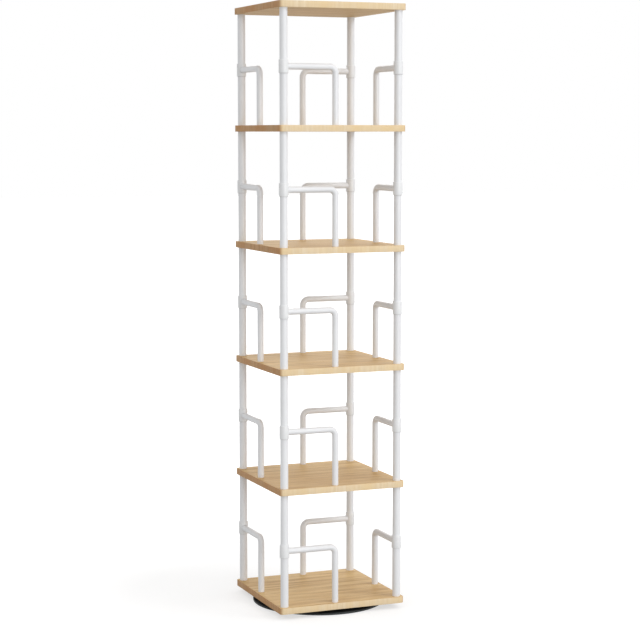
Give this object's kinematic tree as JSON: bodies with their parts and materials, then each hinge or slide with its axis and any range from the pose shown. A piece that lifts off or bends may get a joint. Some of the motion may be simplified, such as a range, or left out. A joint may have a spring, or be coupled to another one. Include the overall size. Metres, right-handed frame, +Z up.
{
  "type": "revolving bookcase",
  "caption": "Free-standing open bookcase of square wood boards on white tube posts, with bent guard rails on every side, that turns without end on a flat black floor turntable.",
  "frame": {"origin": "on the floor, in the middle of the footprint, on the axis that the case turns about", "axes": "+Z up along the turning axis; -Y is the front, the side whose guard rail starts at the post on the left; +X is to the right of a person who faces the front"},
  "size_m": [0.345, 0.345, 1.5455],
  "materials": {
    "oak_board": "satin light oak",
    "tube_white": "satin powder coat",
    "collar_white": "satin moulded",
    "turntable_black": "fine matte powder coat",
    "pad_rubber": "matte",
    "ring_steel": "blackened",
    "ball_steel": "polished",
    "cage_plastic": "moulded",
    "zinc_steel": "zinc plated"
  },
  "bodies": {
    "floor_base": {"floor_disc": "turntable_black", "foot_pads": "pad_rubber", "bearing_inner_ring": "ring_steel", "floor_disc_screws": "zinc_steel"},
    "ball_train": {"bearing_balls": "ball_steel", "ball_cage": "cage_plastic"},
    "case": {"bearing_outer_ring": "ring_steel", "outer_ring_screws": "zinc_steel", "base_board": "oak_board", "top_board": "oak_board", "rail_collars": "collar_white", "post_end_nuts": "zinc_steel", "post_studs": "zinc_steel", "top_board_inserts": "zinc_steel", "base_screws": "zinc_steel", "rail_foot_screws": "zinc_steel", "shelf_board_1": "oak_board", "shelf_board_2": "oak_board", "shelf_board_3": "oak_board", "shelf_board_4": "oak_board", "post_1_front_left": "tube_white", "post_1_front_right": "tube_white", "post_1_back_right": "tube_white", "post_1_back_left": "tube_white", "post_2_front_left": "tube_white", "post_2_front_right": "tube_white", "post_2_back_right": "tube_white", "post_2_back_left": "tube_white", "post_3_front_left": "tube_white", "post_3_front_right": "tube_white", "post_3_back_right": "tube_white", "post_3_back_left": "tube_white", "post_4_front_left": "tube_white", "post_4_front_right": "tube_white", "post_4_back_right": "tube_white", "post_4_back_left": "tube_white", "post_5_front_left": "tube_white", "post_5_front_right": "tube_white", "post_5_back_right": "tube_white", "post_5_back_left": "tube_white", "guard_rail_1_front": "tube_white", "guard_rail_1_right": "tube_white", "guard_rail_1_back": "tube_white", "guard_rail_1_left": "tube_white", "guard_rail_2_front": "tube_white", "guard_rail_2_right": "tube_white", "guard_rail_2_back": "tube_white", "guard_rail_2_left": "tube_white", "guard_rail_3_front": "tube_white", "guard_rail_3_right": "tube_white", "guard_rail_3_back": "tube_white", "guard_rail_3_left": "tube_white", "guard_rail_4_front": "tube_white", "guard_rail_4_right": "tube_white", "guard_rail_4_back": "tube_white", "guard_rail_4_left": "tube_white", "guard_rail_5_front": "tube_white", "guard_rail_5_right": "tube_white", "guard_rail_5_back": "tube_white", "guard_rail_5_left": "tube_white"}
  },
  "joints": [
    {"name": "turntable_spin", "type": "hinge", "parent": "floor_base", "child": "case", "pos_m": [0, 0, 0.0145], "axis": [0, 0, 1], "continuous": true},
    {"name": "ball_train_spin", "type": "hinge", "parent": "floor_base", "child": "ball_train", "pos_m": [0, 0, 0.01025], "axis": [0, 0, 1], "continuous": true}
  ],
  "couplings": [
    {"joint": "ball_train_spin", "follows": "turntable_spin", "ratio": 0.5}
  ]
}
